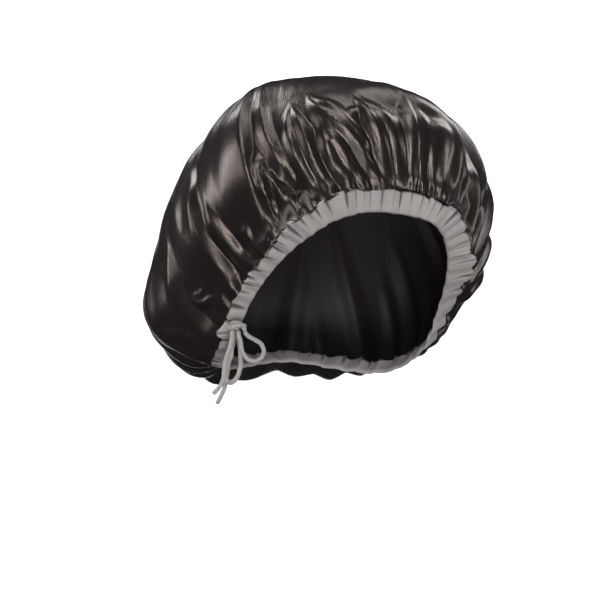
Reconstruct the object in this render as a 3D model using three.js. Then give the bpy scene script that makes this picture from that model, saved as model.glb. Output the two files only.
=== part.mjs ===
// Sleep bonnet: a bag of satin gathered into a drawstring band, tied in a bow at one side.
// Millimetres. +Z is up, the face side looks towards -Y and the bow is on the -X side.
// The origin is the middle of the head opening.
import * as THREE from 'three';
import { RoundedBoxGeometry } from 'three/addons/geometries/RoundedBoxGeometry.js';

// Driving dimensions
const BAND_WIDTH = 16;
const BAND_THICKNESS = 2.6;
const PLEAT_DEPTH = 1.1;
const SCALLOPS = 15;
const SCALLOP_DEPTH = 0.9;
const SATIN_THICKNESS = 1.5;
const CORD_DIAMETER = 3.2;
const GAP = 0.3;

// How finely the faces follow the shapes
const COLUMNS_PER_FOLD = 3;
const CROWN_ROWS = 15;
const ROW_CROWDING = 1.25;
const CORD_SIDES = 8;
const CORD_STEP = 1.6 * CORD_DIAMETER;
const KNOT_ROUNDING_STEPS = 2;
const SLOPE_STEP = 0.002;

// Edge of the head opening, alike on both halves, from the middle of the front to the middle of the nape.
// The band leans off the form under it by an angle in degrees: flare on the +X half, bowFlare on the bow's.
const EDGE = [
  { side: 0, back: -76, up: 61, flare: 30, bowFlare: 30 },
  { side: 37, back: -79, up: 54, flare: 42, bowFlare: 42 },
  { side: 61.5, back: -53, up: 27, flare: 66, bowFlare: 64 },
  { side: 72.5, back: -22, up: -7, flare: 46, bowFlare: 60 },
  { side: 73, back: 2, up: -40, flare: 26, bowFlare: 70 },
  { side: 58, back: 44, up: -61, flare: 24, bowFlare: 46 },
  { side: 0, back: 79, up: -58, flare: 25, bowFlare: 25 },
];

// The egg that the band lies on, and the bag, each by the half sizes along its own axes.
// LEAN turns the bag's axes about X.
const EGG = { centre: [0, 18, 10], half: [78, 100, 112] };
const BAG = {
  centre: [0, 30, 34.5], halfWidth: 115, halfDepth: 83, above: 130, below: 180, squareness: 2.25,
};
const LEAN = THREE.MathUtils.degToRad(-36.4);
const SWELL = 3.4;
const SHOULDER = 0.25;
const APEX = new THREE.Vector3(0, 0.35, 0.94).normalize();

// Large swells and hollows. turn runs 0 to 1 round the band from the middle of the front by way of +X,
// height runs 0 at the band to 1 at the apex, across and along are their half sizes in the same measures.
const SWELLS = [
  { turn: 0.07, height: 0.34, across: 0.045, along: 0.3, rise: 5 },
  { turn: 0.117, height: 0.36, across: 0.026, along: 0.34, rise: -8 },
  { turn: 0.148, height: 0.42, across: 0.045, along: 0.24, rise: 5 },
  { turn: 0.84, height: 0.5, across: 0.08, along: 0.36, rise: 6 },
  { turn: 0.775, height: 0.46, across: 0.024, along: 0.24, rise: -5 },
  { turn: 0.74, height: 0.5, across: 0.04, along: 0.24, rise: 5 },
  { turn: 0.68, height: 0.34, across: 0.04, along: 0.14, rise: -3 },
  { turn: 0.62, height: 0.24, across: 0.05, along: 0.16, rise: 3 },
];

// Folds that run up from the band, by the turn where each leaves it. One fades out at the height reach,
// is width mm wide half way up and stands up by rise mm.
const FOLDS = [
  { turn: 0.006, reach: 0.34, width: 15, rise: 6 },
  { turn: 0.024, reach: 0.38, width: 13, rise: 5 },
  { turn: 0.036, reach: 0.32, width: 11, rise: 6 },
  { turn: 0.048, reach: 0.3, width: 12, rise: 6 },
  { turn: 0.061, reach: 0.46, width: 20, rise: 8 },
  { turn: 0.077, reach: 0.34, width: 12, rise: 5 },
  { turn: 0.092, reach: 0.28, width: 12, rise: 5 },
  { turn: 0.108, reach: 0.3, width: 14, rise: 6 },
  { turn: 0.128, reach: 0.42, width: 18, rise: 7 },
  { turn: 0.15, reach: 0.28, width: 15, rise: 6 },
  { turn: 0.175, reach: 0.45, width: 19, rise: 7 },
  { turn: 0.2, reach: 0.32, width: 17, rise: 6 },
  { turn: 0.7, reach: 0.36, width: 17, rise: 6 },
  { turn: 0.728, reach: 0.5, width: 21, rise: 7 },
  { turn: 0.755, reach: 0.2, width: 16, rise: 6 },
  { turn: 0.78, reach: 0.6, width: 20, rise: 9 },
  { turn: 0.803, reach: 0.26, width: 14, rise: 5 },
  { turn: 0.826, reach: 0.38, width: 17, rise: 7 },
  { turn: 0.847, reach: 0.22, width: 14, rise: 6 },
  { turn: 0.868, reach: 0.68, width: 15, rise: 7 },
  { turn: 0.883, reach: 0.34, width: 11, rise: 6 },
  { turn: 0.899, reach: 0.2, width: 12, rise: 5 },
  { turn: 0.916, reach: 0.5, width: 16, rise: 5 },
  { turn: 0.934, reach: 0.4, width: 14, rise: 6 },
  { turn: 0.951, reach: 0.28, width: 11, rise: 5 },
  { turn: 0.968, reach: 0.28, width: 13, rise: 6 },
  { turn: 0.987, reach: 0.46, width: 17, rise: 6 },
];

// Folds over the nape, spaced evenly between the two halves of the table
const NAPE = { from: 0.2, to: 0.7, count: 17, reaches: [0.3, 0.5, 0.36, 0.62], width: 19, rise: 6 };

// How far a fold drifts round the bag by the height DRIFT_HEIGHT, and how fast the drift dies out above it
const DRIFTS = [
  { turn: 0, drift: -0.028 },
  { turn: 0.036, drift: -0.003 },
  { turn: 0.065, drift: 0.022 },
  { turn: 0.19, drift: 0.024 },
  { turn: 0.45, drift: 0 },
  { turn: 0.7, drift: -0.024 },
  { turn: 0.96, drift: -0.036 },
];
const DRIFT_HEIGHT = 0.3;
const DRIFT_FADE = 0.35;

// The bow. The knot sits on the band, and each stretch of cord under it is a list of points
// on its middle line.
const KNOT = { centre: [-80.8, -17.6, -25.2], size: [11.4, 13, 5.2], rounding: 2.4 };
const BOW = {
  front_loop: [
    [-76.8, -23, -28.1], [-76.1, -23.3, -29.5], [-74.5, -24.1, -31.2], [-71, -25.7, -33.1],
    [-66, -28.2, -36.1], [-64.1, -29.4, -41], [-65.5, -29.1, -45.7], [-69.2, -27.7, -48.2],
    [-73.8, -25.7, -47.5], [-77.8, -23.7, -42.3], [-79.4, -22.8, -34.9], [-80.7, -21.5, -30.4],
    [-80.7, -21.3, -28.1],
  ],
  back_loop: [
    [-79.4, -17.4, -28.1], [-79.4, -17.5, -29.8], [-78.9, -18.2, -33.9], [-77.8, -19.2, -40.5],
    [-77.8, -21.2, -46.6], [-79.1, -25.7, -52.3], [-81.5, -26.2, -60.6], [-83.3, -22.6, -64.3],
    [-84.4, -17.7, -64.4], [-84.7, -13.7, -60.8], [-83.6, -12.9, -51.2], [-82, -14, -46.6],
    [-82.9, -14.8, -38.8], [-83.3, -15.8, -31.8], [-83.3, -15.5, -28.1],
  ],
  front_end: [
    [-84.5, -19.6, -28.1], [-84.5, -19.7, -30], [-84.8, -20, -35], [-85.9, -19.9, -41],
    [-87.8, -19.4, -48.2], [-88.6, -19.5, -56], [-89, -19.7, -62.6], [-91, -19.1, -67.8],
    [-95, -17.6, -73.2],
  ],
  back_end: [
    [-81.2, -12.8, -28.1], [-81.2, -12.7, -30], [-81, -11.8, -35], [-81, -10.6, -41.6],
    [-81.4, -9.6, -48.5], [-82, -9.6, -56], [-82.8, -10.2, -63], [-84.2, -11.2, -69.4],
    [-86.8, -12, -75.4], [-89.4, -11.8, -80.7],
  ],
};

const napeFolds = Array.from({ length: NAPE.count }, (_, index) => ({
  turn: NAPE.from + (index + 1) * (NAPE.to - NAPE.from) / (NAPE.count + 1),
  reach: NAPE.reaches[index % NAPE.reaches.length],
  width: NAPE.width,
  rise: NAPE.rise,
}));
const folds = [...FOLDS, ...napeFolds].sort((a, b) => a.turn - b.turn);

// The edge as a closed smooth line, and the flare along it
function closedLine(toPoint) {
  const bowHalf = EDGE.slice(1, -1).reverse()
    .map((row) => ({ ...row, side: -row.side, flare: row.bowFlare }));
  const line = new THREE.CatmullRomCurve3([...EDGE, ...bowHalf].map(toPoint), true, 'catmullrom', 0.5);
  line.arcLengthDivisions = 1400;
  return line;
}

const edgeLine = closedLine((row) => new THREE.Vector3(row.side, row.back, row.up));
const flareLine = closedLine((row) => new THREE.Vector3(row.flare, 0, 0));

function wrap(turn) {
  return turn - Math.floor(turn);
}

// A point of the edge with the two directions that the band is built on: across the band, and out of it
function edgeFrame(turn) {
  const t = edgeLine.getUtoTmapping(wrap(turn));
  const point = edgeLine.getPoint(t);
  const along = edgeLine.getPointAt(wrap(turn + SLOPE_STEP))
    .sub(edgeLine.getPointAt(wrap(turn - SLOPE_STEP))).normalize();
  const out = new THREE.Vector3(
    ...EGG.centre.map((middle, axis) => (point.getComponent(axis) - middle) / EGG.half[axis] ** 2));
  out.addScaledVector(along, -out.dot(along)).normalize();
  const up = out.clone().cross(along).normalize();
  if (up.dot(new THREE.Vector3(...BAG.centre).sub(point)) < 0) up.negate();
  const flare = THREE.MathUtils.degToRad(flareLine.getPoint(t).x);
  const across = up.clone().multiplyScalar(Math.cos(flare)).addScaledVector(out, Math.sin(flare));
  const face = out.clone().multiplyScalar(Math.cos(flare)).addScaledVector(up, -Math.sin(flare));
  return { point, across, face };
}

// How far along the folds a turn is, in whole numbers on their crests. The pleats and the faces
// follow it.
const crests = [...folds.map((fold) => fold.turn), folds[0].turn + 1];

function crestAfter(turn) {
  const next = crests.findIndex((crest) => crest > turn);
  return next < 0 ? crests.length - 1 : next;
}

function foldPhase(turn) {
  const shifted = turn < crests[0] ? turn + 1 : turn;
  const next = crestAfter(shifted);
  return next - 1 + (shifted - crests[next - 1]) / (crests[next] - crests[next - 1]);
}

// How far the band's pleats stand off its middle, at share 0 on the edge to 1 on the seam
function pleat(turn, share) {
  return PLEAT_DEPTH * Math.cos(2 * Math.PI * foldPhase(wrap(turn))) * (0.35 + 0.65 * share);
}

function bandWidth(turn) {
  return BAND_WIDTH + SCALLOP_DEPTH * Math.sin(2 * Math.PI * SCALLOPS * turn);
}

// A point of the band: share of its width from the edge, and lift off its outer face
function bandPoint(turn, share, lift, extra = 0) {
  const { point, across, face } = edgeFrame(turn);
  return point.addScaledVector(across, share * bandWidth(turn) + extra)
    .addScaledVector(face, pleat(turn, share) + lift);
}

function smooth(low, high, value) {
  return THREE.MathUtils.smoothstep(value, low, high);
}

function turnApart(a, b) {
  return a - b - Math.round(a - b);
}

// Height of the swells and folds over the plain bag
function relief(turn, height) {
  let rise = 0;
  for (const swell of SWELLS) {
    const x = turnApart(turn, swell.turn) / swell.across;
    const y = (height - swell.height) / swell.along;
    rise += swell.rise * Math.max(0, 1 - x * x - y * y) ** 1.5;
  }
  const ring = edgeLine.getLength() * (1 + 0.42 * smooth(0, 0.2, height))
    * (1 - 0.85 * smooth(0.3, 1, height));
  for (const fold of folds) {
    const width = fold.width * (0.6 + 0.4 * smooth(0, 0.5 * fold.reach, height));
    const x = 2 * turnApart(turn, fold.turn) * ring / width;
    if (height >= fold.reach || Math.abs(x) >= 1) continue;
    const run = smooth(0, 0.07, height) * (1 - smooth(0.55 * fold.reach, fold.reach, height));
    rise += fold.rise * run * (1 - x * x) ** 2;
  }
  return rise - 2.5 * smooth(0, 0.1, height) * (1 - smooth(0.5, 0.8, height));
}

function bagRadius(direction) {
  const y = direction.y * Math.cos(LEAN) - direction.z * Math.sin(LEAN);
  const z = direction.y * Math.sin(LEAN) + direction.z * Math.cos(LEAN);
  const power = BAG.squareness;
  const sum = Math.abs(direction.x / BAG.halfWidth) ** power + Math.abs(y / BAG.halfDepth) ** power
    + Math.abs(z / (z > 0 ? BAG.above : BAG.below)) ** power;
  return sum ** (-1 / power);
}

// The drift of the folds at a turn, between the table's rows, as it has grown by a height
function drift(turn, height) {
  const next = DRIFTS.findIndex((row) => row.turn > turn);
  const low = DRIFTS[(next < 0 ? DRIFTS.length : next) - 1];
  const high = next < 0 ? { ...DRIFTS[0], turn: 1 } : DRIFTS[next];
  const share = smooth(low.turn, high.turn, turn);
  const grown = (1 - Math.exp(-height / DRIFT_FADE)) / (1 - Math.exp(-DRIFT_HEIGHT / DRIFT_FADE));
  return (low.drift + share * (high.drift - low.drift)) * grown;
}

// A point of the crown's outer face, on the fold line that leaves the band at a turn.
// Its direction from the bag's middle swings from the seam to the apex.
function crownPoint(turn, height) {
  const centre = new THREE.Vector3(...BAG.centre);
  const start = bandPoint(turn + drift(wrap(turn), height), 1, 0, GAP).sub(centre);
  const startRadius = start.length();
  start.normalize();
  const swing = start.angleTo(APEX);
  const direction = start.clone().multiplyScalar(Math.sin((1 - height) * swing))
    .addScaledVector(APEX, Math.sin(height * swing)).normalize();
  const full = (1 - (1 - Math.min(height / SHOULDER, 1)) ** 2) ** 0.7;
  const swell = SWELL * Math.sin(Math.PI * Math.min(2 * height, 1)) ** 2;
  const radius = bagRadius(direction) * full + startRadius * (1 - full) + swell + relief(turn, height);
  return centre.addScaledVector(direction, radius);
}

// A closed body from rings of points: one ring after another, and the last ring back to the first
// when looped, or each end shut to one point otherwise
function bodyOfRings(rings, ends) {
  const count = rings[0].length;
  const points = rings.flat();
  const faces = [];
  const quads = (a, b) => {
    for (let i = 0; i < count; i += 1) {
      const j = (i + 1) % count;
      faces.push(a * count + i, a * count + j, b * count + j, a * count + i, b * count + j, b * count + i);
    }
  };
  for (let r = 0; r + 1 < rings.length; r += 1) quads(r, r + 1);
  if (ends) {
    const last = (rings.length - 1) * count;
    const first = points.push(ends[0]) - 1;
    const final = points.push(ends[1]) - 1;
    for (let i = 0; i < count; i += 1) {
      const j = (i + 1) % count;
      faces.push(first, j, i, final, last + i, last + j);
    }
  } else {
    quads(rings.length - 1, 0);
  }
  const geometry = new THREE.BufferGeometry();
  geometry.setAttribute('position', new THREE.Float32BufferAttribute(points.flatMap((p) => p.toArray()), 3));
  geometry.setIndex(faces);
  geometry.computeVertexNormals();
  return geometry;
}

// A ring has a point on each fold's crest, and the others evenly between one crest and the next
const columns = folds.flatMap((fold, index) => Array.from({ length: COLUMNS_PER_FOLD },
  (_, part) => fold.turn + part / COLUMNS_PER_FOLD * (crests[index + 1] - fold.turn)));

function ringOf(pointAt) {
  return columns.map(pointAt);
}

// The crown is one thin wall: rings down the inside from the apex to the seam, and up the outside again
function crownGeometry() {
  const heights = Array.from({ length: CROWN_ROWS }, (_, row) => (row / CROWN_ROWS) ** ROW_CROWDING);
  const outside = heights.map((height) => ringOf((turn) => crownPoint(turn, height)));
  const inward = (turn, height) => {
    const low = Math.max(height - SLOPE_STEP, 0);
    const along = crownPoint(turn + SLOPE_STEP, height).sub(crownPoint(turn - SLOPE_STEP, height));
    const up = crownPoint(turn, height + SLOPE_STEP).sub(crownPoint(turn, low));
    return along.cross(up).normalize().multiplyScalar(-SATIN_THICKNESS);
  };
  const inside = heights.map((height, row) => ringOf((turn) => {
    const offset = row === 0 ? edgeFrame(turn).face.multiplyScalar(-SATIN_THICKNESS) : inward(turn, height);
    return crownPoint(turn, height).add(offset);
  }));
  const apex = crownPoint(0, 1);
  const rings = [...inside.reverse(), ...outside];
  return bodyOfRings(rings, [apex.clone().addScaledVector(APEX, -SATIN_THICKNESS), apex]);
}

// The band is a flat tube with rounded edges, carried round the edge of the opening
function bandGeometry() {
  const half = BAND_THICKNESS / 2;
  const soft = half / BAND_WIDTH;
  const profile = [
    [0, 0.5], [soft, 1], [0.5, 1], [1, 0.75], [1, -0.75], [0.5, -1], [soft, -1], [0, -0.5],
  ];
  const rings = profile.map(([share, side]) => ringOf(
    (turn) => bandPoint(turn, share, half * side - SATIN_THICKNESS / 2)));
  return bodyOfRings(rings);
}

// A stretch of cord: a round section carried along its points
function cordGeometry(points) {
  const route = new THREE.CatmullRomCurve3(points.map((point) => new THREE.Vector3(...point)));
  const steps = Math.round(route.getLength() / CORD_STEP);
  const section = new THREE.Shape();
  section.absarc(0, 0, CORD_DIAMETER / 2, 0, 2 * Math.PI);
  return new THREE.ExtrudeGeometry(section, { extrudePath: route, steps, curveSegments: CORD_SIDES });
}

function knotGeometry() {
  return new RoundedBoxGeometry(...KNOT.size, KNOT_ROUNDING_STEPS, KNOT.rounding).translate(...KNOT.centre);
}

const SATIN = new THREE.MeshStandardMaterial({ color: 0x2a2321, roughness: 0.35, metalness: 0 });
const CASING = new THREE.MeshStandardMaterial({ color: 0xa39d9a, roughness: 0.85, metalness: 0 });
const CORD = new THREE.MeshStandardMaterial({ color: 0xa8a29f, roughness: 0.8, metalness: 0 });

function named(name, geometry, material) {
  const mesh = new THREE.Mesh(geometry, material);
  mesh.name = name;
  return mesh;
}

const bonnet = new THREE.Group();
bonnet.add(named('crown', crownGeometry(), SATIN));
bonnet.add(named('band', bandGeometry(), CASING));
bonnet.add(named('tie_knot', knotGeometry(), CORD));
for (const [name, points] of Object.entries(BOW)) bonnet.add(named(name, cordGeometry(points), CORD));

export default bonnet;
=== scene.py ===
import bpy
import numpy as np
from mathutils import Matrix


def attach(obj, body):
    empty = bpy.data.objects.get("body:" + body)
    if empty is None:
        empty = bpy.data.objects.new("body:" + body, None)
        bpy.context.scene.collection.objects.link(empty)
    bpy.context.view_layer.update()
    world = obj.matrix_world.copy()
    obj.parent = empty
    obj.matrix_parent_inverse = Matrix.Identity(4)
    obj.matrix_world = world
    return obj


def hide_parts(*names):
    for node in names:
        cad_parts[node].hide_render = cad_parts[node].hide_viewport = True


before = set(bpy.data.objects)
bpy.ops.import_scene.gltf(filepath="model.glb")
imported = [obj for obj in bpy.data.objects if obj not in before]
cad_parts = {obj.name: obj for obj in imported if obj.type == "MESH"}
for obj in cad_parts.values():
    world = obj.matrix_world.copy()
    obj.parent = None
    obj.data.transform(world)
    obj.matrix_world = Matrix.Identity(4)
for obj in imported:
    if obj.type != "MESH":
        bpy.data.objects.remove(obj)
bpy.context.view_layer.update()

# Camera. It looks slightly down at the front and the bow's side, from 1.6 m, and is rolled by the few degrees
# that the bonnet leans in the photograph.
azimuth, elevation, roll = np.radians([-23.96, 2.98, 4.19])
target = np.array([0, 0.0155, -0.0048])
distance = 1.6
toward_camera = np.array([np.sin(azimuth) * np.cos(elevation),
                          -np.cos(azimuth) * np.cos(elevation), np.sin(elevation)])
level_right = np.array([np.cos(azimuth), np.sin(azimuth), 0])
level_up = np.cross(toward_camera, level_right)
view_right = np.cos(roll) * level_right + np.sin(roll) * level_up
view_up = np.cos(roll) * level_up - np.sin(roll) * level_right
camera = bpy.data.objects.new("camera", bpy.data.cameras.new("camera"))
bpy.context.scene.collection.objects.link(camera)
camera_place = np.eye(4)
camera_place[:3, :3] = np.stack([view_right, view_up, toward_camera], axis=1)
camera_place[:3, 3] = target + distance * toward_camera
camera.matrix_world = Matrix(camera_place.tolist())
camera.data.sensor_width = 36
camera.data.lens = 132.5
camera.data.shift_x, camera.data.shift_y = -0.043, -0.0023
camera.data.clip_end = 30
bpy.context.scene.camera = camera


# Bow. The two ends of the drawstring come out of the band, are tied, and hang as two loops and two free
# ends. The cord is a sewn tube of the band's own matt cloth, 3.2 mm thick, with its seam down one side.
class Varying:
    """A number that changes over a surface. Sums and products of it become Math nodes."""

    def __init__(self, finish, socket):
        self.finish, self.socket = finish, socket

    def maths(self, operation, first, second=0.0):
        return self.finish.node("ShaderNodeMath", {"operation": operation}, {0: first, 1: second})

    def __add__(self, other):
        return self.maths("ADD", self, other)

    def __sub__(self, other):
        return self.maths("SUBTRACT", self, other)

    def __rsub__(self, other):
        return self.maths("SUBTRACT", other, self)

    def __mul__(self, other):
        return self.maths("MULTIPLY", self, other)

    def sine(self):
        return self.maths("SINE", self)

    def clipped(self):
        return self.finish.node("ShaderNodeClamp", {}, {0: self})

    __radd__, __rmul__ = __add__, __mul__


class Finish:
    """The nodes of one material. Sockets given here are the same all over it; feed() links those that vary."""

    def __init__(self, name, **sockets):
        self.material = bpy.data.materials.new(name)
        self.material.use_nodes = True
        self.tree = self.material.node_tree
        self.shader = self.tree.nodes["Principled BSDF"]
        for socket, value in sockets.items():
            self.shader.inputs[socket.replace("_", " ")].default_value = value

    def node(self, kind, settings=None, sockets=None, output=0):
        """Adds a node of a kind with its settings, then its sockets' values or links."""
        node = self.tree.nodes.new(kind)
        for name, value in (settings or {}).items():
            setattr(node, name, value)
        for name, value in (sockets or {}).items():
            if isinstance(value, Varying):
                self.tree.links.new(value.socket, node.inputs[name])
            else:
                node.inputs[name].default_value = value
        return Varying(self, node.outputs[output])

    def between(self, share, low, high):
        """The colour that is low where share is 0 and high where it is 1."""
        return self.node("ShaderNodeMix", {"data_type": "RGBA"}, {0: share, 6: low, 7: high}, 2)

    def noise(self, vector, scale, detail=2.0):
        return self.node("ShaderNodeTexNoise", {}, {"Vector": vector, "Scale": scale, "Detail": detail})

    def feed(self, bump=None, depth=0.0005, **sockets):
        """Links varying values to the shader, and a height to its normal through one Bump of a depth in metres."""
        for name, value in sockets.items():
            self.tree.links.new(value.socket, self.shader.inputs[name.replace("_", " ")])
        if bump is not None:
            normal = self.node("ShaderNodeBump", {}, {"Height": bump, "Distance": depth, "Strength": 1.0})
            self.tree.links.new(normal.socket, self.shader.inputs["Normal"])
        return self.material


def along_route(points, spacing):
    """Centripetal Catmull-Rom line through the points, in even steps of about spacing: between two points it
    blends the four nearest by the square roots of the distances between them."""
    points = np.vstack([2 * points[:1] - points[1:2], points, 2 * points[-1:] - points[-2:-1]])
    knots = np.concatenate([[0], np.cumsum(np.sqrt(np.linalg.norm(np.diff(points, axis=0), axis=1)))])
    fine = np.linspace(knots[1], knots[-2], 1200)
    start = np.clip(np.searchsorted(knots, fine, side="right") - 2, 0, len(points) - 4)
    p = [points[start + k] for k in range(4)]
    t = [knots[start + k][:, None] for k in range(4)]
    at = fine[:, None]

    def mix(low, high, a, b):
        return ((high - at) * a + (at - low) * b) / (high - low)

    a1, a2, a3 = mix(t[0], t[1], p[0], p[1]), mix(t[1], t[2], p[1], p[2]), mix(t[2], t[3], p[2], p[3])
    line = mix(t[1], t[2], mix(t[0], t[2], a1, a2), mix(t[1], t[3], a2, a3))
    run = np.concatenate([[0], np.cumsum(np.linalg.norm(np.diff(line, axis=0), axis=1))])
    steps = np.linspace(0, run[-1], int(round(run[-1] / spacing)) + 1)
    return np.stack([np.interp(steps, run, line[:, axis]) for axis in range(3)], axis=1), run[-1]


def grid_mesh(name, grid, uv, materials, lining_rows=0, loop_rows=False):
    """A mesh from a grid of points, rows x columns x 3, closed round its columns. Its two ends are shut with one
    more point each, or joined to each other when looped. uv has one more column than the grid, so that the cloth
    map doesn't run back over the last one. The first lining_rows rows take the second material."""
    rows, columns = grid.shape[:2]
    index = np.arange(rows * columns).reshape(rows, columns)
    index = np.concatenate([index, index[:, :1]], axis=1)
    if loop_rows:
        index, uv = np.vstack([index, index[:1]]), np.concatenate([uv, uv[:1]])
    corners = [(slice(None, -1), slice(None, -1)), (slice(None, -1), slice(1, None)),
               (slice(1, None), slice(1, None)), (slice(1, None), slice(None, -1))]
    quads = np.stack([index[corner] for corner in corners], axis=2)
    marks = np.stack([uv[corner] for corner in corners], axis=2)
    finish = np.repeat((np.arange(len(quads)) < lining_rows).astype(int), columns)
    points, faces, marks = grid.reshape(-1, 3), quads.reshape(-1, 4).tolist(), marks.reshape(-1, 2)
    if not loop_rows:
        points = np.vstack([points, grid[0].mean(axis=0), grid[-1].mean(axis=0)])
        middle = np.broadcast_to(uv[0, :-1] * 0.5 + uv[0, 1:] * 0.5, (columns, 2))
        far = np.broadcast_to(uv[-1, :-1] * 0.5 + uv[-1, 1:] * 0.5, (columns, 2))
        faces += [[rows * columns, b, a] for a, b in zip(index[0, :-1].tolist(), index[0, 1:].tolist())]
        faces += [[rows * columns + 1, a, b] for a, b in zip(index[-1, :-1].tolist(), index[-1, 1:].tolist())]
        marks = np.vstack([marks, np.stack([middle, uv[0, 1:], uv[0, :-1]], axis=1).reshape(-1, 2),
                           np.stack([far, uv[-1, :-1], uv[-1, 1:]], axis=1).reshape(-1, 2)])
        finish = np.concatenate([finish, np.full(columns, int(lining_rows > 0)), np.zeros(columns, int)])
    mesh = bpy.data.meshes.new(name)
    mesh.from_pydata(points.tolist(), [], faces)
    mesh.polygons.foreach_set("use_smooth", np.ones(len(faces), dtype=bool))
    mesh.uv_layers.new(name="cloth").data.foreach_set("uv", marks.astype(np.float32).ravel())
    for material in materials:
        mesh.materials.append(material)
    mesh.polygons.foreach_set("material_index", finish.astype(np.int32))
    mesh.update()
    piece = bpy.data.objects.new(name, mesh)
    bpy.context.scene.collection.objects.link(piece)
    return piece


cord_finish = Finish("grey cord", Roughness=0.82, Sheen_Weight=0.25, Sheen_Roughness=0.5)
on_cord = cord_finish.node("ShaderNodeTexCoord", output=2)
round_cord = cord_finish.node("ShaderNodeSeparateXYZ", {}, {0: on_cord})
along_cord = Varying(cord_finish, round_cord.socket.node.outputs[1])
THREADS = 9425.0  # radians a metre: a thread every 0.67 mm
threads = (round_cord * THREADS).sine() * (along_cord * THREADS).sine()
wear = cord_finish.noise(on_cord, 500.0, 3.0)
cord_grey = cord_finish.between((wear * 1.4 - 0.2).clipped(), (0.43, 0.405, 0.395, 1), (0.65, 0.618, 0.6, 1))
cord_cloth = cord_finish.feed(Base_Color=cord_grey, bump=threads * 0.5 + wear, depth=0.00012)

CORD, CORD_SIDES, CORD_STEP = 0.0032, 28, 0.0005
SEAM_AT, SEAM_WIDTH, SEAM_DEPTH = 4.2, 0.22, 0.09
CUT_END, CUT_RADIUS = 0.0009, 0.55


def cord_tube(name, points, wrinkle=0.035, seed=0.0):
    """A round tube carried along its route, which is in mm. Its radius is half the cord times 0.97 + small waves
    along it, less a narrow dip where the sewn seam runs down one side. The end rings pull in as a quarter circle."""
    line, length = along_route(np.array(points) / 1000, CORD_STEP)
    tangent = np.gradient(line, axis=0)
    tangent /= np.linalg.norm(tangent, axis=1)[:, None]
    plane = np.linalg.svd(line - line.mean(axis=0))[2][2]
    side = plane - (tangent @ plane)[:, None] * tangent
    side /= np.linalg.norm(side, axis=1)[:, None]
    other = np.cross(tangent, side)
    turn = np.arange(CORD_SIDES) / CORD_SIDES * 2 * np.pi
    run = np.linspace(0, length, len(line))[:, None]
    waves = np.sin(run / 0.0011 + 2 * np.sin(turn + seed) + seed) * np.sin(run / 0.0037 + seed)
    seam = SEAM_DEPTH * np.exp(-((turn - SEAM_AT) / SEAM_WIDTH) ** 2)
    radius = CORD / 2 * (0.97 + wrinkle * waves - seam)
    rim = np.minimum(run, length - run) / CUT_END
    pulled_in = CUT_RADIUS + (1 - CUT_RADIUS) * np.sqrt(np.clip(rim * (2 - rim), 0, 1))
    radius = radius * np.where(rim < 1, pulled_in, 1)
    tube = line[:, None] + radius[..., None] * (np.cos(turn)[:, None] * side[:, None]
                                               + np.sin(turn)[:, None] * other[:, None])
    uv = np.stack(np.broadcast_arrays(np.arange(CORD_SIDES + 1) / CORD_SIDES * np.pi * CORD, run), axis=2)
    piece = grid_mesh(name, tube, uv, [cord_cloth])
    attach(piece, "root")
    return piece, line, length


BOW = {  # far end, and the middle line's points in mm
    "front_loop": ("object", [
        [-76.8, -23, -28.1], [-76.1, -23.3, -29.5], [-74.5, -24.1, -31.2], [-71, -25.7, -33.1],
        [-66, -28.2, -36.1], [-64.1, -29.4, -41], [-65.5, -29.1, -45.7], [-69.2, -27.7, -48.2],
        [-73.8, -25.7, -47.5], [-77.8, -23.7, -42.3], [-79.4, -22.8, -34.9], [-80.7, -21.5, -30.4],
        [-80.7, -21.3, -28.1]]),
    "back_loop": ("object", [
        [-79.4, -17.4, -28.1], [-79.4, -17.5, -29.8], [-78.9, -18.2, -33.9], [-77.8, -19.2, -40.5],
        [-77.8, -21.2, -46.6], [-79.1, -25.7, -52.3], [-81.5, -26.2, -60.6], [-83.3, -22.6, -64.3],
        [-84.4, -17.7, -64.4], [-84.7, -13.7, -60.8], [-83.6, -12.9, -51.2], [-82, -14, -46.6],
        [-82.9, -14.8, -38.8], [-83.3, -15.8, -31.8], [-83.3, -15.5, -28.1]]),
    "front_end": ("bare", [
        [-84.5, -19.6, -28.1], [-84.5, -19.7, -30], [-84.8, -20, -35], [-85.9, -19.9, -41],
        [-87.8, -19.4, -48.2], [-88.6, -19.5, -56], [-89, -19.7, -62.6], [-91, -19.1, -67.8],
        [-95, -17.6, -73.2]]),
    "back_end": ("bare", [
        [-81.2, -12.8, -28.1], [-81.2, -12.7, -30], [-81, -11.8, -35], [-81, -10.6, -41.6],
        [-81.4, -9.6, -48.5], [-82, -9.6, -56], [-82.8, -10.2, -63], [-84.2, -11.2, -69.4],
        [-86.8, -12, -75.4], [-89.4, -11.8, -80.7]]),
}
for order, (name, (far_end, points)) in enumerate(BOW.items()):
    piece, line, length = cord_tube(name + "_cord", points, seed=1.7 * order)
    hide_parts(name)


# Knot. The same cord goes once round the four stretches and under itself, and holds them on the band at
# the side. It is pulled tight, so the turns press into each other.
KNOT_TURNS = [  # middle lines in mm: one turn round, and two over the top
    [[-84.9, -20.4, -27.3], [-85.6, -22.6, -25.6], [-83.2, -24.2, -24.3], [-79.8, -24, -24], [-77, -22, -24.4],
     [-76, -18.2, -25], [-76.8, -14, -25.4], [-79, -12, -25.8], [-82.6, -12.4, -26.3], [-85, -15.6, -26.8],
     [-85.4, -18.6, -26.4]],
    [[-76.9, -22.8, -28], [-77.5, -23.2, -26.4], [-79.6, -21.6, -23.6], [-81.6, -17.4, -22.9],
     [-82.6, -13.8, -23.7], [-82.4, -12.8, -26]],
    [[-81.4, -13.4, -28], [-79.4, -13.8, -25.6], [-78.4, -16.6, -23.3], [-79.6, -20, -23.1], [-82.2, -22.4, -24.6],
     [-83.4, -21.6, -27.4]],
]
knot_pieces = [cord_tube(f"knot_turn_{order}", points, seed=3.1 + order)[0]
               for order, points in enumerate(KNOT_TURNS)]
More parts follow.
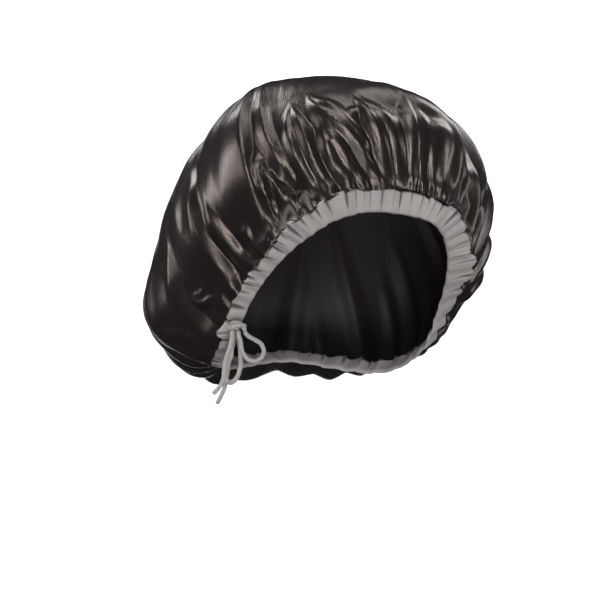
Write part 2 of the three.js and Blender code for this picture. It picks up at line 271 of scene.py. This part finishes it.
for piece in knot_pieces:
    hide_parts("tie_knot")


# Band. A narrow casing of the cord's matt grey cloth, folded double round the drawstring and sewn to the
# crown's edge. The drawn cord ruffles it into flat panels with sharp creases between them, and painted shade
# darkens the casing's colour in the creases.
BAND_WIDTH, BAND_THICKNESS, PLEAT_DEPTH = 16.0, 2.6, 1.1  # mm, as are all sizes of the band and crown
SCALLOPS, SCALLOP_DEPTH = 15, 0.9
NARROW, NARROW_FROM, NARROW_TO = 0.28, 0.66, 0.84  # share of the width lost near the knot, and where in turns
SATIN_THICKNESS = 1.5
EDGE = np.array([  # side, back, up, flare on the +X half, flare on the bow's half
    [0, -76, 61, 30, 30], [37, -79, 54, 42, 42], [61.5, -53, 27, 66, 64], [72.5, -22, -7, 46, 60],
    [73, 2, -40, 26, 70], [58, 44, -61, 24, 46], [0, 79, -58, 25, 25]])
EGG_MIDDLE, EGG_HALF = np.array([0, 18, 10]), np.array([78, 100, 112])
BAG_MIDDLE = np.array([0, 30, 34.5])
FRONT_FOLDS = np.array([  # turns where folds leave the band
    0.006, 0.024, 0.036, 0.048, 0.061, 0.077, 0.092, 0.108, 0.7, 0.728, 0.755, 0.78, 0.803, 0.826, 0.847, 0.868,
    0.883, 0.899, 0.916, 0.934, 0.951, 0.968, 0.987])
SIDE_FOLDS = np.array([  # turn, reach, rise
    [0.128, 0.42, 7], [0.15, 0.28, 6], [0.175, 0.45, 7], [0.2, 0.32, 6]])
NAPE_FROM, NAPE_TO, NAPE_COUNT, NAPE_RISE, NAPE_REACHES = 0.2, 0.7, 17, 6, (0.3, 0.5, 0.36, 0.62)
nape_folds = np.array([[NAPE_FROM + (k + 1) * (NAPE_TO - NAPE_FROM) / (NAPE_COUNT + 1),
                        NAPE_REACHES[k % len(NAPE_REACHES)], NAPE_RISE] for k in range(NAPE_COUNT)])
back_folds = np.vstack([SIDE_FOLDS, nape_folds])
fold_turns = np.sort(np.concatenate([FRONT_FOLDS, back_folds[:, 0]]))
crests = np.append(fold_turns, fold_turns[0] + 1)

bow_half = EDGE[-2:0:-1, [0, 1, 2, 4]] * [-1, 1, 1, 1]
edge_rows = np.vstack([EDGE[:, :4], bow_half])


def edge_at(place):
    """Catmull-Rom line through the edge's rows, closed: place counts the rows."""
    row = np.floor(place).astype(int)
    part = (place - row)[..., None]
    a, b, c, d = (edge_rows[(row + k) % len(edge_rows)] for k in (-1, 0, 1, 2))
    return 0.5 * (2 * b + (c - a) * part + (2 * a - 5 * b + 4 * c - d) * part**2
                  + (3 * b - a - 3 * c + d) * part**3)


places = np.linspace(0, len(edge_rows), 1401)
edge_run = np.concatenate([[0], np.cumsum(np.linalg.norm(np.diff(edge_at(places)[:, :3], axis=0), axis=1))])
edge_length = edge_run[-1]


def edge_by_turn(turn):
    """The edge's row at a share of the way round it."""
    return edge_at(np.interp(np.mod(turn, 1) * edge_length, edge_run, places))


def edge_frame(turn):
    """The edge's point, and the directions across the band and out of it: out is the egg's outward direction
    square to the edge, and both are tilted by the flare."""
    row = edge_by_turn(turn)
    point, flare = row[..., :3], np.radians(row[..., 3:])
    along = edge_by_turn(turn + 0.002)[..., :3] - edge_by_turn(turn - 0.002)[..., :3]
    along /= np.linalg.norm(along, axis=-1, keepdims=True)
    out = (point - EGG_MIDDLE) / EGG_HALF**2
    out -= (out * along).sum(axis=-1, keepdims=True) * along
    out /= np.linalg.norm(out, axis=-1, keepdims=True)
    up = np.cross(out, along)
    up *= np.sign((up * (BAG_MIDDLE - point)).sum(axis=-1, keepdims=True))
    return point, np.cos(flare) * up + np.sin(flare) * out, np.cos(flare) * out - np.sin(flare) * up


def fold_phase(turn):
    """Whole numbers on the folds' crests, and evenly between them."""
    turn = np.mod(turn, 1)
    return np.interp(np.where(turn < crests[0], turn + 1, turn), crests, np.arange(len(crests)))


PANELS_A_FOLD = 1.5


def panel_phase(turn):
    """Whole numbers on the creases between the casing's panels: panels a fold x phase + 0.3 sin(2.1 phase)."""
    phase = fold_phase(turn)
    return phase * PANELS_A_FOLD + 0.3 * np.sin(phase * 2.1)


def pleat(turn, share):
    """A cosine over the folds' phase, deepest at the seam."""
    return PLEAT_DEPTH * np.cos(2 * np.pi * fold_phase(turn)) * (0.35 + 0.65 * share)


def smooth(low, high, value):
    """0 up to low and 1 from high on, with 3 part^2 - 2 part^3 between them."""
    part = np.clip((value - low) / (high - low), 0, 1)
    return part * part * (3 - 2 * part)


def band_point(turn, share, lift, extra=0.0):
    """The edge's point, plus share of the band's width across, plus the pleat and a lift out of it. The width is
    scalloped by a sine, and narrower near the knot."""
    point, across, face = edge_frame(turn)
    around = np.mod(turn, 1)
    narrow = smooth(NARROW_FROM - 0.06, NARROW_FROM, around)
    narrow = narrow * (1 - smooth(NARROW_TO - 0.02, NARROW_TO + 0.04, around))
    width = (BAND_WIDTH + SCALLOP_DEPTH * np.sin(2 * np.pi * SCALLOPS * turn)) * (1 - NARROW * narrow)
    return (point + across * (share * width + extra)[..., None]
            + face * (pleat(turn, share) + lift)[..., None])


def phase_columns(count):
    """Turns of a grid's columns: count of them from each crest to the next, from the nape round to it again."""
    start = int(np.argmin(np.abs(crests - 0.45)))
    place = start + np.arange(len(fold_turns) * count + 1) / count
    lap = place >= len(fold_turns)
    return np.interp(place - len(fold_turns) * lap, np.arange(len(crests)), crests) + lap


FRILLS = [(0.15, 0.055, 1.0), (0.727, 0.016, 1.1)]  # turn, reach, size


def turn_apart(a, b):
    """How far turn a is past turn b, from -0.5 to 0.5."""
    return a - b - np.round(a - b)


def jitter(number, step):
    """A repeatable scatter from -1 to 1 for whole numbers."""
    return 2 * np.mod(np.sin(number * 12.9898 + step * 78.233) * 43758.5453, 1) - 1


def ruffle(turn, share):
    """Extra lift and width of the panels between the creases, in mm, and how deep in a crease each point is. A
    panel is nearly flat, tilted its own way, and a narrow groove exp(-(distance / width)^2) parts it from the
    next. A groove is deepest at the seam and runs out at its own share of the width. At the seam each panel
    steps out or in and slants. Where the frills are, two panels together open into a petal with fine ribs."""
    cell = panel_phase(turn)
    lap = PANELS_A_FOLD * len(fold_turns)
    panel, part = np.mod(np.floor(cell), lap), np.mod(cell, 1)
    crease, petal = np.mod(np.round(cell), lap), np.mod(cell / 2, 1)
    petals = sum(size * np.exp(-(turn_apart(turn, middle) / reach) ** 2) for middle, reach, size in FRILLS)
    ends = 0.15 + 0.25 * jitter(crease, 7)
    groove = (np.exp(-(np.minimum(part, 1 - part) / (0.05 + 0.05 * share)) ** 2)
              * smooth(ends, ends + 0.6, share) * (0.75 + 0.25 * jitter(crease, 8)))
    lift = (part - 0.5) * (0.9 + 0.9 * jitter(panel, 1)) * (0.5 + 0.5 * share) - 1.9 * groove
    lift += petals * (0.6 * np.sin(2 * np.pi * 8.5 * petal) + 1.6 * share) * share
    step = (0.8 + 1.3 * jitter(panel, 2) + 2.4 * jitter(panel, 4) * (part - 0.5)) * (1 - np.clip(petals, 0, 1))
    step += petals * (6.6 + 1.6 * jitter(np.floor(cell / 2), 5)) * (np.sin(np.pi * petal) ** 0.8 - 0.3)
    return lift, step * share**1.5 + 0.3 * jitter(panel, 3) * (1 - share), groove


band_finish = Finish("grey casing", Roughness=0.9, Sheen_Weight=0.15, Sheen_Roughness=0.6)
in_casing = band_finish.node("ShaderNodeTexCoord", output=3)
mottle = band_finish.noise(in_casing, 90.0, 3.0)
grain = band_finish.noise(in_casing, 2600.0, 1.0)
# Painted shade: the crease attribute, each point's depth in a groove, mixes the casing's colour toward near black.
painted_crease_shade = band_finish.node("ShaderNodeAttribute", {"attribute_name": "crease"}, output=2)
band_colour = band_finish.between((mottle * 1.6 - 0.3).clipped(), (0.475, 0.44, 0.43, 1), (0.59, 0.55, 0.54, 1))
band_cloth = band_finish.feed(
    Base_Color=band_finish.between((painted_crease_shade * 1.3).clipped(), band_colour, (0.1, 0.093, 0.09, 1)),
    bump=grain + mottle * 0.6, depth=0.00018)

COLUMNS_A_FOLD, OUTER_ROWS, INNER_ROWS, EDGE_THICKNESS = 30, 13, 6, 0.12
turns = phase_columns(COLUMNS_A_FOLD)
shares = np.concatenate([np.linspace(0, 1, OUTER_ROWS), np.linspace(1, 0, INNER_ROWS + 2)[1:-1]])
outer_side = np.concatenate([np.ones(OUTER_ROWS), -np.ones(INNER_ROWS)])
round_off = np.sqrt(np.clip(1 - (2 * np.abs(shares - 0.5)) ** 10, 0, 1)) * (1 - EDGE_THICKNESS) + EDGE_THICKNESS
turn_grid, share_grid = np.broadcast_arrays(turns[None, :], shares[:, None])
lift, step, groove = ruffle(turn_grid, share_grid)
half = BAND_THICKNESS / 2 * (outer_side * round_off)[:, None]
band_grid = band_point(turn_grid, share_grid, half + lift - SATIN_THICKNESS / 2, step) / 1000
band_map = np.stack([turn_grid * edge_length / 1000, share_grid * BAND_WIDTH / 1000], axis=2)
band = grid_mesh("ruffled_band", band_grid[::-1, :-1], band_map[::-1], [band_cloth], loop_rows=True)
# The grooves' depth is stored as the crease attribute, which paints shade into the casing's creases.
crease_shade_layer = band.data.attributes.new("crease", "FLOAT", "POINT")
crease_shade_layer.data.foreach_set("value", groove[::-1, :-1].astype(np.float32).ravel())
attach(band, "root")
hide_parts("band")


# Crown. One disc of satin, gathered on its edge and sewn into the band, stands up as a full soft bag. The
# gathers leave the band as tight folds, and fade out toward the middle of the disc.
SATIN_GAP = 0.3
BAG_HALF, BAG_SQUARENESS, LEAN = (115, 83, 130, 180), 2.25, np.radians(-36.4)
APEX = np.array([0, 0.35, 0.94]) / np.linalg.norm([0, 0.35, 0.94])
SWELL, SHOULDER, SLOPE_STEP = 3.4, 0.25, 0.002
SWELLS = [  # turn, height, across, along, rise
    (0.036, 0.43, 0.034, 0.13, 6), (0.07, 0.45, 0.03, 0.15, -2.5), (0.112, 0.36, 0.026, 0.34, -6),
    (0.15, 0.5, 0.05, 0.3, 9), (0.22, 0.13, 0.045, 0.16, 7), (0.97, 0.8, 0.22, 0.36, 7),
    (0.905, 0.64, 0.06, 0.14, 2.5), (0.856, 0.5, 0.07, 0.36, 5.5), (0.775, 0.46, 0.024, 0.24, -4),
    (0.79, 0.64, 0.07, 0.24, 5), (0.735, 0.46, 0.05, 0.24, 5), (0.69, 0.36, 0.05, 0.16, 3),
    (0.655, 0.19, 0.045, 0.13, 6), (0.56, 0.06, 0.04, 0.1, 3), (0.525, 0.055, 0.035, 0.11, 8),
    (0.912, 0.14, 0.014, 0.14, -3)]
DRIFTS = np.array([  # turn, drift
    [0, -0.028], [0.036, -0.003], [0.065, 0.022], [0.19, 0.024], [0.45, 0], [0.7, -0.024], [0.96, -0.036],
    [1, -0.028]])
DRIFT_HEIGHT, DRIFT_FADE = 0.3, 0.35
CRESTS = np.array([  # turn at the foot, at a third, at two thirds and at the tip; height of foot and tip; slope
    # left and right; rise
    [0.868, 0.874, 0.876, 0.873, 0.00, 0.66, 0.20, 0.90, 6.5],
    [0.921, 0.908, 0.900, 0.891, 0.12, 0.62, 0.45, 0.60, 4.5],
    [0.868, 0.876, 0.881, 0.887, 0.14, 0.31, 0.90, 0.40, 5.0],
    [0.902, 0.905, 0.893, 0.888, 0.00, 0.31, 0.40, 0.90, 5.0],
    [0.910, 0.912, 0.915, 0.919, 0.00, 0.11, 0.80, 0.50, 3.5],
    [0.920, 0.922, 0.923, 0.920, 0.00, 0.11, 0.50, 0.80, 3.5],
    [0.931, 0.930, 0.930, 0.943, 0.00, 0.43, 0.80, 0.45, 5.5],
    [0.938, 0.945, 0.946, 0.942, 0.00, 0.43, 0.45, 0.80, 5.5],
    [0.955, 0.957, 0.960, 0.965, 0.00, 0.29, 0.80, 0.45, 5.5],
    [0.974, 0.971, 0.968, 0.965, 0.00, 0.29, 0.45, 0.80, 5.5],
    [0.989, 0.985, 0.971, 0.965, 0.00, 0.45, 0.60, 0.80, 5.5],
    [0.994, 0.984, 0.975, 0.967, 0.12, 0.45, 0.60, 0.80, 5.0],
    [0.998, 1.008, 1.005, 1.004, 0.00, 0.40, 0.60, 0.80, 5.5],
    [1.018, 1.018, 1.013, 1.006, 0.00, 0.40, 0.70, 0.70, 5.5],
    [1.025, 1.030, 1.034, 1.041, 0.00, 0.43, 0.80, 0.50, 5.5],
    [1.035, 1.043, 1.044, 1.041, 0.00, 0.43, 0.50, 0.80, 5.5],
    [1.045, 1.048, 1.052, 1.056, 0.00, 0.40, 0.80, 0.50, 8.0],
    [1.057, 1.066, 1.061, 1.055, 0.00, 0.52, 0.35, 1.10, 7.5],
    [1.070, 1.073, 1.071, 1.076, 0.00, 0.32, 0.60, 0.60, 3.5],
    [1.082, 1.086, 1.090, 1.096, 0.00, 0.24, 0.50, 0.50, 3.0],
    [1.098, 1.103, 1.112, 1.122, 0.00, 0.22, 0.40, 0.40, 3.0],
    [1.114, 1.122, 1.132, 1.142, 0.00, 0.36, 0.30, 0.30, 2.8],
    [0.782, 0.790, 0.787, 0.762, 0.00, 0.52, 0.16, 0.80, 6.0],
    [0.720, 0.707, 0.717, 0.729, 0.00, 0.32, 0.40, 0.70, 6.0],
    [0.765, 0.755, 0.742, 0.716, 0.07, 0.15, 0.90, 0.90, 3.5],
    [0.774, 0.761, 0.737, 0.717, 0.00, 0.15, 0.90, 0.90, 4.5],
    [0.844, 0.840, 0.841, 0.843, 0.00, 0.18, 0.70, 0.40, 5.0],
    [0.854, 0.849, 0.844, 0.843, 0.00, 0.14, 0.40, 0.70, 4.5],
    [0.825, 0.815, 0.811, 0.806, 0.00, 0.32, 0.50, 0.80, 5.0],
    [0.876, 0.881, 0.884, 0.888, 0.00, 0.18, 0.60, 0.50, 2.5],
    [0.706, 0.688, 0.668, 0.654, 0.00, 0.16, 0.30, 0.40, 2.8],
    [0.664, 0.659, 0.656, 0.653, 0.00, 0.14, 0.30, 0.40, 2.2],
    [0.645, 0.652, 0.668, 0.684, 0.02, 0.38, 0.20, 0.30, 2.5],
    [0.981, 0.983, 0.990, 1.003, 0.17, 0.34, 0.60, 0.60, 3.5]])
CREST_ROUND, VALLEY_ROUND = 2.4, 0.25
SEAM_RISE, TIP_FADE = 0.35, 0.38  # share of the rise at the seam, share of the length that fades at the tip
BAG_CLIMB, RING_SPREAD, RING_CLOSE = 230.0, 0.42, 0.85
APEX_RISE, GATHER, SETBACK = 3.5, 0.35, 2.4
BACK_TO = 0.655  # turn where the hidden side's crests end


def back_crests():
    """The crests of the hidden side, from its folds: each wanders a little on its way up, and they are lower
    and softer toward the bow's side."""
    rows = back_folds[back_folds[:, 0] < BACK_TO]
    number = np.arange(len(rows))
    wander = [rows[:, 0] + 0.005 * step * jitter(number, step) for step in range(4)]
    calm = 1 - 0.5 * smooth(0.55, 0.61, rows[:, 0])
    slopes = [(0.6 + 0.15 * jitter(number, 5)) * calm, (0.6 + 0.15 * jitter(number, 6)) * calm]
    return np.stack(wander + [0 * number, rows[:, 1] * 0.9] + slopes + [rows[:, 2] * 0.85 * calm], axis=1)


def crest_rise(turn, height, ring):
    """The highest of the crests at each point, as valley_round x log(sum of exp(rise / valley_round)), which
    rounds the valleys between them. A crest's line is the cubic through its four even turns. Its rise
    drops away beside it by (b - a) x / 2 + (a + b) (sqrt(x^2 + round^2) - round) / 2, where x is the distance from
    the line and a and b are the slopes left and right of it. It fades at its foot and tip."""
    total = np.ones(turn.shape)
    for at_0, at_1, at_2, at_3, foot, tip, left, right, top in np.vstack([CRESTS, back_crests()]):
        p = np.clip((height - foot) / (tip - foot), -0.1, 1.1) * 3
        line = (-at_0 * (p - 1) * (p - 2) * (p - 3) / 6 + at_1 * p * (p - 2) * (p - 3) / 2
                - at_2 * p * (p - 1) * (p - 3) / 2 + at_3 * p * (p - 1) * (p - 2) / 6)
        lean = (at_3 - at_0) / (tip - foot) * ring / BAG_CLIMB
        x = turn_apart(turn, line) * ring / np.sqrt(1 + lean * lean)
        drop = (right - left) / 2 * x + (left + right) / 2 * (np.sqrt(x * x + CREST_ROUND**2) - CREST_ROUND)
        at_seam = SEAM_RISE if foot == 0 else 0
        run = at_seam + (1 - at_seam) * smooth(-0.01, 0.05, height - foot)
        run = run * smooth(0, TIP_FADE * (tip - foot), tip - height)
        total += np.exp(np.clip(top * run - drop, -20, None) / VALLEY_ROUND) * (run > 0)
    return VALLEY_ROUND * np.log(total)


def relief(turn, height):
    """Rise over the plain bag. A swell is rise x (1 - x^2 - y^2)^1.5, all swells blend into one rise at the apex,
    and the crests stand on the swells. Small gathers run out just above the seam, and the whole is set back."""
    rise = np.zeros(turn.shape)
    for middle, up, across, along, top in SWELLS:
        x, y = turn_apart(turn, middle) / across, (height - up) / along
        rise += top * np.clip(1 - x * x - y * y, 0, None) ** 1.5
    to_apex = smooth(0.75, 1, height)
    rise = rise * smooth(0, 0.04, height) * (1 - to_apex) + APEX_RISE * to_apex
    ring = edge_length * (1 + RING_SPREAD * smooth(0, 0.2, height)) * (1 - RING_CLOSE * smooth(0.3, 1, height))
    rise += crest_rise(turn, height, ring)
    gather = GATHER * np.cos(2 * np.pi * panel_phase(turn))
    rise += gather * smooth(0, 0.015, height) * (1 - smooth(0.015, 0.05, height))
    return rise - SETBACK * smooth(0, 0.1, height) * (1 - smooth(0.5, 0.8, height))


def bag_radius(direction):
    """Distance from the bag's middle to its wall: a superellipsoid with its own lean and two heights."""
    y = direction[..., 1] * np.cos(LEAN) - direction[..., 2] * np.sin(LEAN)
    z = direction[..., 1] * np.sin(LEAN) + direction[..., 2] * np.cos(LEAN)
    side, deep, above, below = BAG_HALF
    total = (np.abs(direction[..., 0] / side) ** BAG_SQUARENESS + np.abs(y / deep) ** BAG_SQUARENESS
             + np.abs(z / np.where(z > 0, above, below)) ** BAG_SQUARENESS)
    return total ** (-1 / BAG_SQUARENESS)


def drift(turn, height):
    """How far a fold has drifted round the bag at a height."""
    turn = np.mod(turn, 1)
    row = np.clip(np.searchsorted(DRIFTS[:, 0], turn, side="right") - 1, 0, len(DRIFTS) - 2)
    low, high = DRIFTS[row], DRIFTS[row + 1]
    share = smooth(low[..., 0], high[..., 0], turn)
    grown = (1 - np.exp(-height / DRIFT_FADE)) / (1 - np.exp(-DRIFT_HEIGHT / DRIFT_FADE))
    return (low[..., 1] + share * (high[..., 1] - low[..., 1])) * grown


def bag_point(turn, height):
    """A point of the crown: its direction swings from the seam to the apex by height, and its distance goes
    from the seam's to the bag's over the shoulder, plus the relief."""
    turn, height = np.broadcast_arrays(turn, height)
    start = band_point(turn + drift(turn, height), np.ones(turn.shape), 0.0, SATIN_GAP) - BAG_MIDDLE
    start_radius = np.linalg.norm(start, axis=-1)
    start = start / start_radius[..., None]
    swing = np.arccos(np.clip(start @ APEX, -1, 1))[..., None]
    share = height[..., None]
    direction = start * np.sin((1 - share) * swing) + APEX * np.sin(share * swing)
    direction /= np.linalg.norm(direction, axis=-1, keepdims=True)
    full = (1 - (1 - np.clip(height / SHOULDER, 0, 1)) ** 2) ** 0.7
    swell = SWELL * np.sin(np.pi * np.clip(2 * height, 0, 1)) ** 2
    radius = bag_radius(direction) * full + start_radius * (1 - full) + swell + relief(turn, height)
    return BAG_MIDDLE + radius[..., None] * direction


CROWN_ROWS, LINING_ROWS, ROW_CROWDING = 92, 18, 1.25
FRONT_COLUMNS, BACK_COLUMNS = 600, 260
FRONT_FROM, FRONT_TO, LAP_START = 0.63, 1.15, 0.4


def crown_rows(count):
    """Heights of count rows, closer together near the seam: (row / count)^crowding."""
    return (np.arange(count) / count) ** ROW_CROWDING


turns = np.concatenate([np.linspace(LAP_START, FRONT_FROM, BACK_COLUMNS // 2, endpoint=False),
                        np.linspace(FRONT_FROM, FRONT_TO, FRONT_COLUMNS, endpoint=False),
                        np.linspace(FRONT_TO, LAP_START + 1, BACK_COLUMNS // 2 + 1)])
heights = crown_rows(CROWN_ROWS)
turn_grid, height_grid = np.broadcast_arrays(turns[None, :], heights[:, None])
outside = bag_point(turn_grid, height_grid)
turn_in, height_in = np.broadcast_arrays(turns[None, :], crown_rows(LINING_ROWS)[::-1, None])
inside = bag_point(turn_in, height_in)
round_slope = bag_point(turn_in + SLOPE_STEP, height_in) - bag_point(turn_in - SLOPE_STEP, height_in)
up_slope = bag_point(turn_in, height_in + SLOPE_STEP) - bag_point(turn_in, np.maximum(height_in - SLOPE_STEP, 0))
normal = np.cross(round_slope, up_slope)
normal[-1] = edge_frame(turns)[2]
inside -= SATIN_THICKNESS * normal / np.linalg.norm(normal, axis=2, keepdims=True)
crown_grid = np.concatenate([inside, outside])[:, :-1] / 1000
MAP_ROUND, MAP_UP = 0.8, 0.25  # metres of cloth round the bag and up to its apex
crown_map = np.stack([np.concatenate([turn_in, turn_grid]) * MAP_ROUND,
                      np.concatenate([height_in, height_grid]) * MAP_UP], axis=2)

satin_finish = Finish("dark satin", Roughness=0.27, Specular_IOR_Level=1.0, Specular_Tint=(1, 0.88, 0.84, 1))
on_cloth = satin_finish.node("ShaderNodeTexCoord", output=2)
drawn_out = satin_finish.node("ShaderNodeVectorMath", {"operation": "MULTIPLY"}, {0: on_cloth, 1: (900, 110, 0)})
slub = satin_finish.noise(drawn_out, 1.0, 3.0)
satin = satin_finish.feed(
    Base_Color=satin_finish.between(slub, (0.011, 0.0078, 0.0072, 1), (0.023, 0.0168, 0.0156, 1)),
    bump=slub, depth=0.0002)
reverse_finish = Finish("satin reverse", Roughness=0.55, Specular_IOR_Level=0.4)
in_bag = reverse_finish.node("ShaderNodeTexCoord", output=3)
nap = reverse_finish.noise(in_bag, 1500.0)
satin_reverse = reverse_finish.feed(
    Base_Color=reverse_finish.between(nap, (0.018, 0.0135, 0.013, 1), (0.034, 0.027, 0.026, 1)),
    bump=nap, depth=0.00008)

crown = grid_mesh("satin_crown", crown_grid, crown_map, [satin, satin_reverse], lining_rows=LINING_ROWS)
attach(crown, "root")
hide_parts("crown")


# Studio. Paper that sweeps up behind under a white wash. Narrow soft lights stand low and high to the left, in
# front and to the right, so that every fold carries a thin light line. Wide dim ones on the left and overhead
# give the panels their sheen, and a low fill lights the casing.
SWEEP_SIDE = 0.85
SWEEP = np.array([  # metres behind, level
    [2.1, -0.78], [2.45, -0.6], [2.6, -0.3], [2.6, 0.58]])
sweep_run = np.concatenate([[0], np.cumsum(np.linalg.norm(np.diff(SWEEP, axis=0), axis=1))])
fine = np.linspace(0, sweep_run[-1], 60)
away = -toward_camera * [1, 1, 0] / np.linalg.norm(toward_camera[:2])
side = np.linspace(-SWEEP_SIDE, SWEEP_SIDE, 12)
depth, level = np.interp(fine, sweep_run, SWEEP[:, 0]), np.interp(fine, sweep_run, SWEEP[:, 1])
stage_grid = (depth[:, None, None] * away + side[None, :, None] * level_right
              + level[:, None, None] * np.array([0, 0, 1]))
paper_finish = Finish("white paper", Roughness=0.9, Base_Color=(0.9, 0.9, 0.9, 1))
mesh = bpy.data.meshes.new("sweep")
index = np.arange(stage_grid.shape[0] * stage_grid.shape[1]).reshape(stage_grid.shape[:2])
quads = np.stack([index[:-1, :-1], index[:-1, 1:], index[1:, 1:], index[1:, :-1]], axis=2).reshape(-1, 4)
mesh.from_pydata(stage_grid.reshape(-1, 3).tolist(), [], quads.tolist())
mesh.polygons.foreach_set("use_smooth", np.ones(len(mesh.polygons), dtype=bool))
mesh.materials.append(paper_finish.material)
sweep = bpy.data.objects.new("sweep", mesh)
bpy.context.scene.collection.objects.link(sweep)

world = bpy.data.worlds.new("studio")
world.use_nodes = True
world.node_tree.nodes["Background"].inputs["Color"].default_value = (1, 1, 1, 1)
world.node_tree.nodes["Background"].inputs["Strength"].default_value = 0.035
bpy.context.scene.world = world
bpy.context.scene.view_settings.view_transform = "Standard"


def soft_light(name, right, up, near, width, height, watts, aim=(0, 0.02, 0.03)):
    """A rectangular light placed by metres right, up and toward the camera from the bonnet, facing its aim."""
    light = bpy.data.objects.new(name, bpy.data.lights.new(name, "AREA"))
    light.data.shape, light.data.size, light.data.size_y, light.data.energy = "RECTANGLE", width, height, watts
    stand = right * level_right + up * np.array([0, 0, 1]) - near * away
    back = (stand - np.array(aim)) / np.linalg.norm(stand - np.array(aim))
    across = np.cross([0, 0, 1], back)
    across /= np.linalg.norm(across)
    matrix = np.eye(4)
    matrix[:3, :3] = np.stack([across, np.cross(back, across), back], axis=1)
    matrix[:3, 3] = np.array(aim) + back * np.linalg.norm(stand)
    light.matrix_world = Matrix(matrix.tolist())
    bpy.context.scene.collection.objects.link(light)


LIGHTS = [  # name; metres right, up and near; width, height; watts
    ("left_low", -1.85, 0.25, -0.3, 0.4, 1.2, 8), ("left_high", -0.95, 1.25, -1.15, 0.4, 1.0, 6),
    ("left_wide", -1.5, 0.5, 0.5, 1.3, 1.1, 7), ("right_low", 1.85, 0.25, -0.3, 0.4, 1.2, 5.5),
    ("right_high", 0.95, 1.25, -1.15, 0.4, 1.0, 6), ("front_low", 0.1, 0.75, 1.8, 0.3, 1.2, 11),
    ("front_high", 0.1, 1.85, 0.6, 0.34, 1.0, 6), ("front_fill", 0.3, -0.8, 2.4, 1.8, 0.8, 24),
    ("overhead", 0.25, 1.8, -0.45, 1.2, 0.6, 4.5)]
for light in LIGHTS:
    soft_light(*light)
soft_light("backdrop_wash", 0, 1.25, -1.3, 1.8, 0.4, 66, aim=(1.06, 2.38, -0.05))
